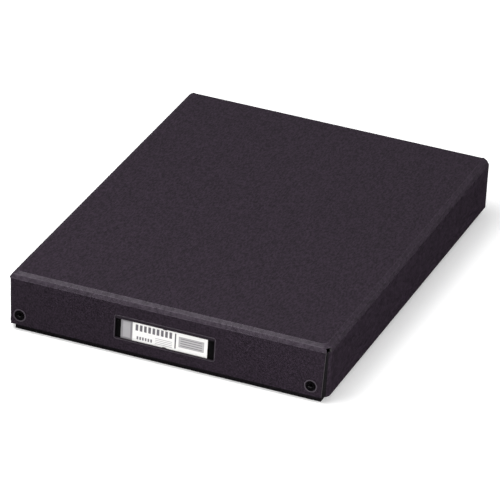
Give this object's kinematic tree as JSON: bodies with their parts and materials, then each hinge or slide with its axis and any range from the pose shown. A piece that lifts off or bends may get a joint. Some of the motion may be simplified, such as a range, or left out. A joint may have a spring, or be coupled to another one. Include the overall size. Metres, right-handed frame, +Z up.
{
  "type": "archival box",
  "caption": "Flat lidded desk tray for archiving large sheets: creased board cover hinged at the rear, inner tray, corner eyelets and a label holder with a loose card.",
  "frame": {"origin": "middle of the footprint, on the surface that the box stands on", "axes": "+X to the right as seen from the front, -Y out of the labelled front flap, +Z up"},
  "size_m": [0.324, 0.442, 0.06],
  "materials": {
    "laminate": "matt film-laminated board with a fine grain",
    "tray_board": "matt film-laminated board",
    "holder_plastic": "satin moulded plastic",
    "eyelet_metal": "black gloss enamel",
    "card_paper": "coated white card"
  },
  "bodies": {
    "tray": {"tray": "tray_board", "rear_panel": "laminate", "rear_eyelet_left": "eyelet_metal", "rear_eyelet_right": "eyelet_metal", "tray_eyelet_front_left": "eyelet_metal", "tray_eyelet_front_right": "eyelet_metal", "tray_eyelet_rear_left": "eyelet_metal", "tray_eyelet_rear_right": "eyelet_metal"},
    "cover": {"cover": "laminate", "label_holder": "holder_plastic", "cover_eyelet_left": "eyelet_metal", "cover_eyelet_right": "eyelet_metal"},
    "label_card": {"label_card": "card_paper"}
  },
  "joints": [
    {"name": "cover_hinge", "type": "hinge", "parent": "tray", "child": "cover", "pos_m": [0, 0.22, 0.06], "axis": [-1, 0, 0], "range_deg": [0, 180]},
    {"name": "label_card_slide", "type": "slide", "parent": "cover", "child": "label_card", "axis": [1, 0, 0], "range_m": [-0.0048, 0.0064]}
  ]
}
